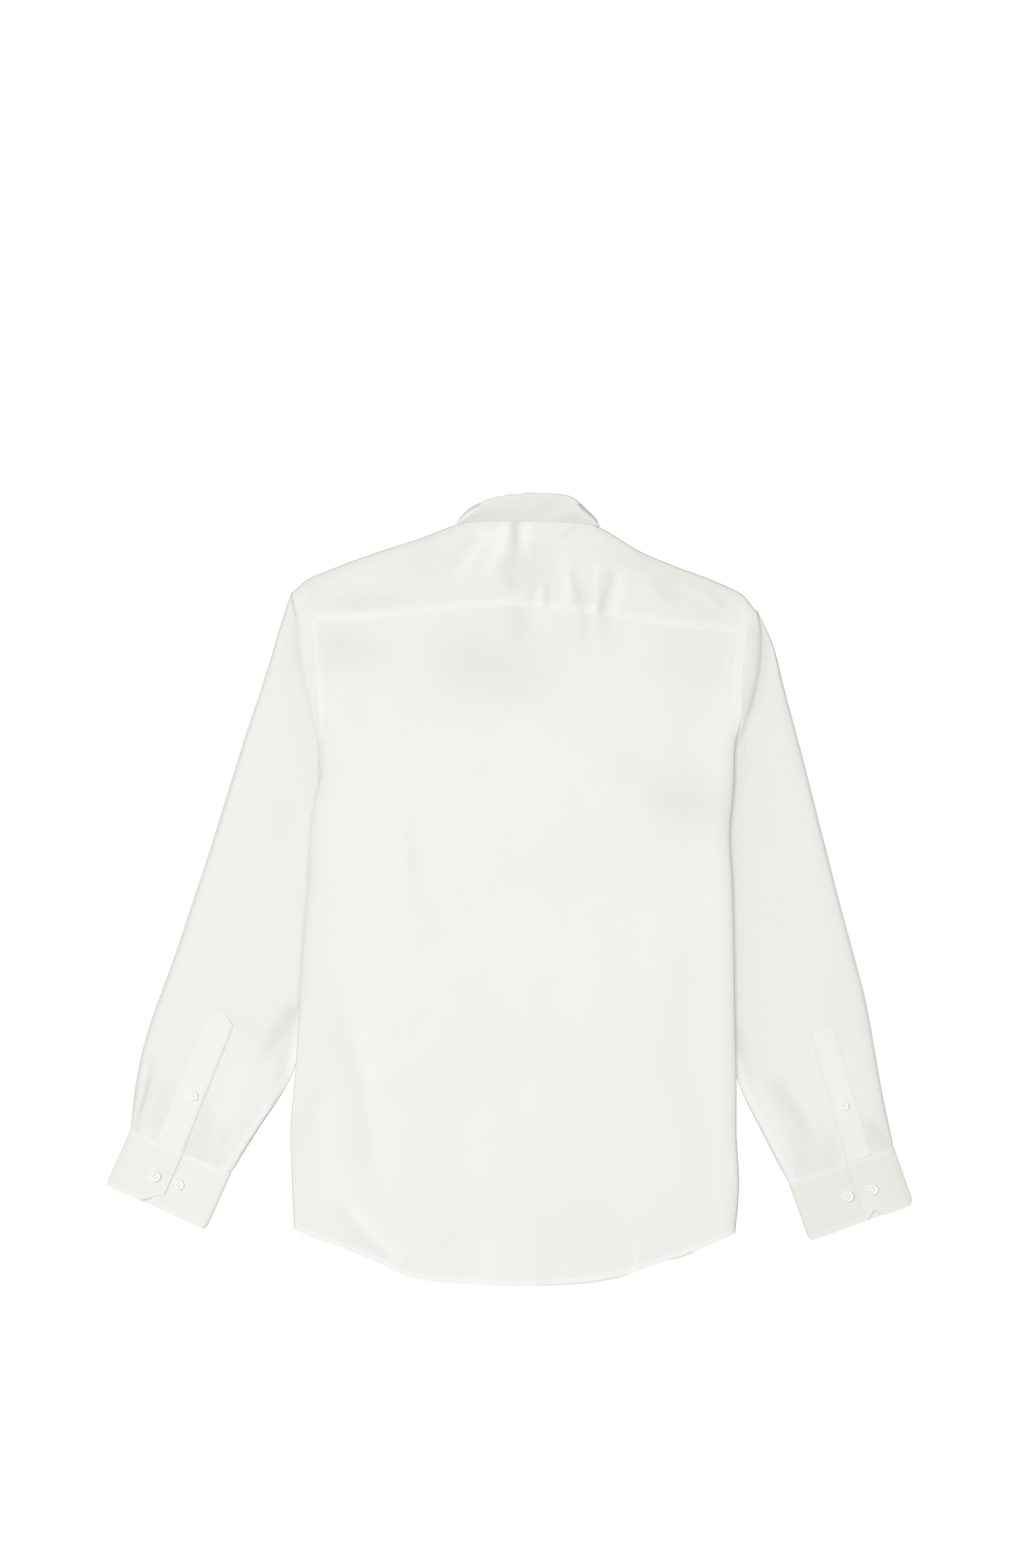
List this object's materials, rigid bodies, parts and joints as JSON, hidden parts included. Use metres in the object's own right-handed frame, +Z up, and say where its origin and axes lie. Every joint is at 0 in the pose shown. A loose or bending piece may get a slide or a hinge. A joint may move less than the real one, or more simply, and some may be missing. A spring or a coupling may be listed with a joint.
{
  "type": "long sleeve dress shirt",
  "caption": "Long sleeve dress shirt laid flat face down, back up, with a folded collar, yoke, buttoned cuffs and curved hem.",
  "frame": {"origin": "middle of the bounding box in plan, on the surface the shirt lies on", "axes": "+X to the wearer's right, across the shirt; +Y from hem to collar; +Z up, out of the back"},
  "size_m": [0.8216, 0.8062, 0.0269],
  "materials": {
    "cloth": "off-white fine cotton poplin, matt",
    "button": "off-white polished resin"
  },
  "bodies": {
    "root": {"back": "cloth", "yoke": "cloth", "front_left": "cloth", "front_right": "cloth", "placket_band": "cloth", "collar_leaf": "cloth", "collar_stand": "cloth", "sleeve_left": "cloth", "sleeve_right": "cloth", "tower_left": "cloth", "tower_right": "cloth", "cuff_left": "cloth", "cuff_right": "cloth", "cuff_button_left_over": "button", "cuff_button_left_under": "button", "cuff_button_right_over": "button", "cuff_button_right_under": "button", "tower_button_left": "button", "tower_button_right": "button", "front_button_1": "button", "front_button_2": "button", "front_button_3": "button", "front_button_4": "button", "front_button_5": "button", "front_button_6": "button", "front_button_7": "button"}
  },
  "joints": []
}
